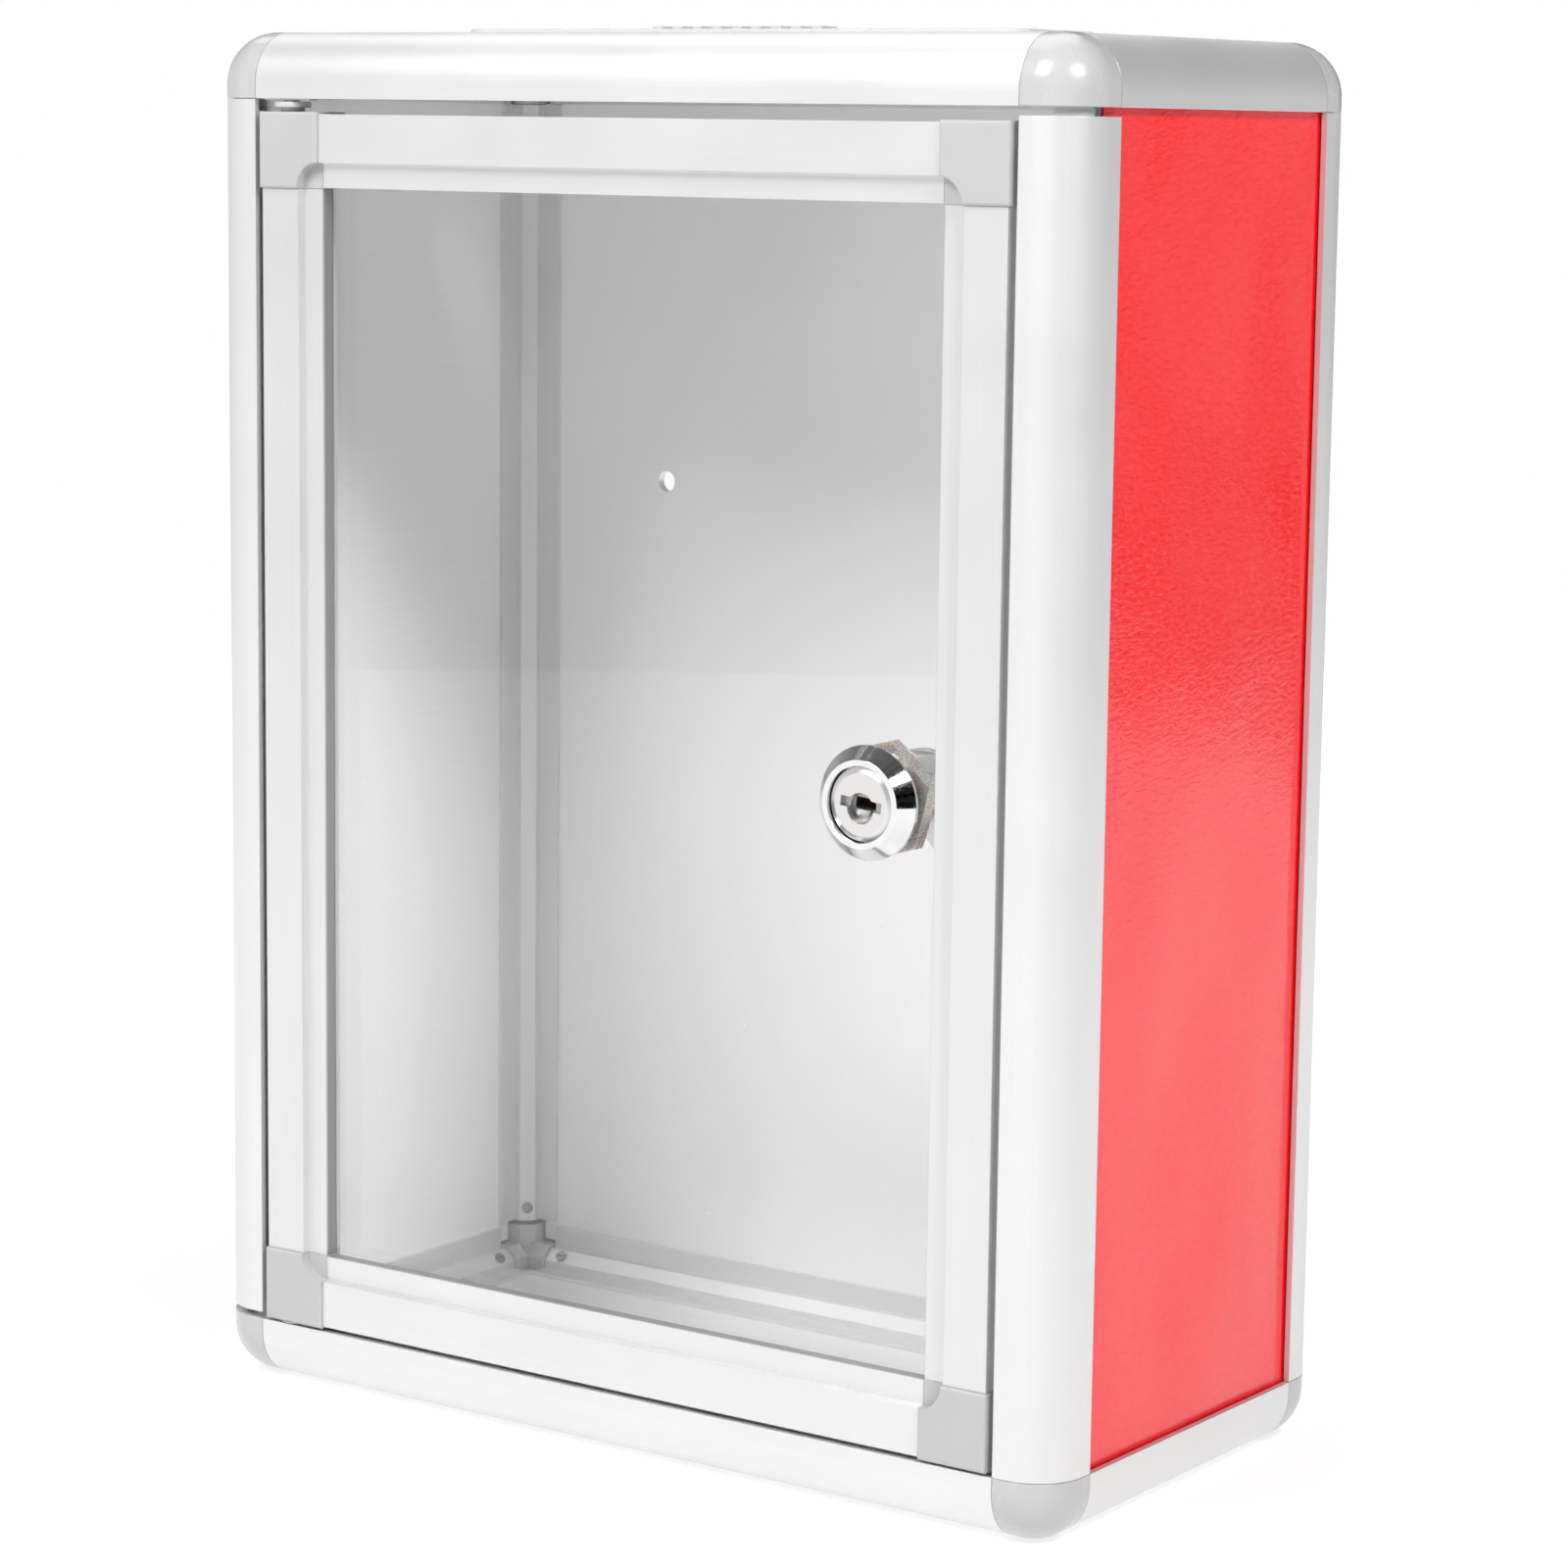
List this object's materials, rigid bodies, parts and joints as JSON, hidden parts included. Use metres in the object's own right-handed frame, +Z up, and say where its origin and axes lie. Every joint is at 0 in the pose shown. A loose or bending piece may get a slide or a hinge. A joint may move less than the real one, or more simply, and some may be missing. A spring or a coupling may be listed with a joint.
{
  "type": "donation box",
  "caption": "Rounded aluminium donation box with red side panels, a clear locking front door hung on pivot pins, and a money slot in the top.",
  "frame": {"origin": "middle of the box's footprint, at the level of the surface that it stands on", "axes": "+X to the right as seen by someone facing the door, +Y to the back, +Z up through the money slot"},
  "size_m": [0.2, 0.0996, 0.2698],
  "materials": {
    "case_aluminium": "satin anodised",
    "case_plastic": "light grey, semi-gloss",
    "red_panel": "gloss red with a fine orange-peel texture",
    "silver_panel": "fine brushed",
    "slot_plastic": "light grey",
    "dark_screws": "blackened",
    "pin_steel": "plain",
    "door_aluminium": "satin anodised",
    "door_plastic": "grey, fine matt",
    "clear_acrylic": "clear, polished",
    "lock_chrome": "bright",
    "lock_nickel": "satin nickel",
    "bush_nylon": "off-white",
    "cam_steel": "zinc plated"
  },
  "bodies": {
    "box": {"post_front_left": "case_aluminium", "post_front_right": "case_aluminium", "post_rear_left": "case_aluminium", "post_rear_right": "case_aluminium", "rail_top_front": "case_aluminium", "rail_top_rear": "case_aluminium", "rail_top_left": "case_aluminium", "rail_top_right": "case_aluminium", "rail_bottom_front": "case_aluminium", "rail_bottom_rear": "case_aluminium", "rail_bottom_left": "case_aluminium", "rail_bottom_right": "case_aluminium", "corner_top_front_left": "case_plastic", "corner_top_front_right": "case_plastic", "corner_top_rear_left": "case_plastic", "corner_top_rear_right": "case_plastic", "corner_bottom_front_left": "case_plastic", "corner_bottom_front_right": "case_plastic", "corner_bottom_rear_left": "case_plastic", "corner_bottom_rear_right": "case_plastic", "side_panel_left": "red_panel", "side_panel_right": "red_panel", "back_panel": "silver_panel", "top_panel": "silver_panel", "bottom_panel": "silver_panel", "slot_plate": "slot_plastic", "corner_screws": "dark_screws", "hinge_pivot_top": "pin_steel", "hinge_pivot_bottom": "pin_steel"},
    "door": {"door_stile_left": "door_aluminium", "door_stile_right": "door_aluminium", "door_rail_top": "door_aluminium", "door_rail_bottom": "door_aluminium", "door_corner_top_left": "door_plastic", "door_corner_top_right": "door_plastic", "door_corner_bottom_left": "door_plastic", "door_corner_bottom_right": "door_plastic", "door_window": "clear_acrylic", "lock_body": "lock_chrome", "lock_nut": "lock_chrome", "hinge_bush_top": "bush_nylon", "hinge_bush_bottom": "bush_nylon"},
    "lock_plug": {"lock_plug": "lock_nickel", "lock_cam": "cam_steel", "cam_washer": "cam_steel", "cam_screw": "cam_steel"}
  },
  "joints": [
    {"name": "door_hinge", "type": "hinge", "parent": "box", "child": "door", "pos_m": [-0.0802, -0.0462, 0.133], "axis": [0, 0, -1], "range_deg": [0, 110]},
    {"name": "lock_turn", "type": "hinge", "parent": "door", "child": "lock_plug", "pos_m": [0.0556, -0.0492, 0.1314], "axis": [0, -1, 0], "range_deg": [-45, 45]}
  ]
}
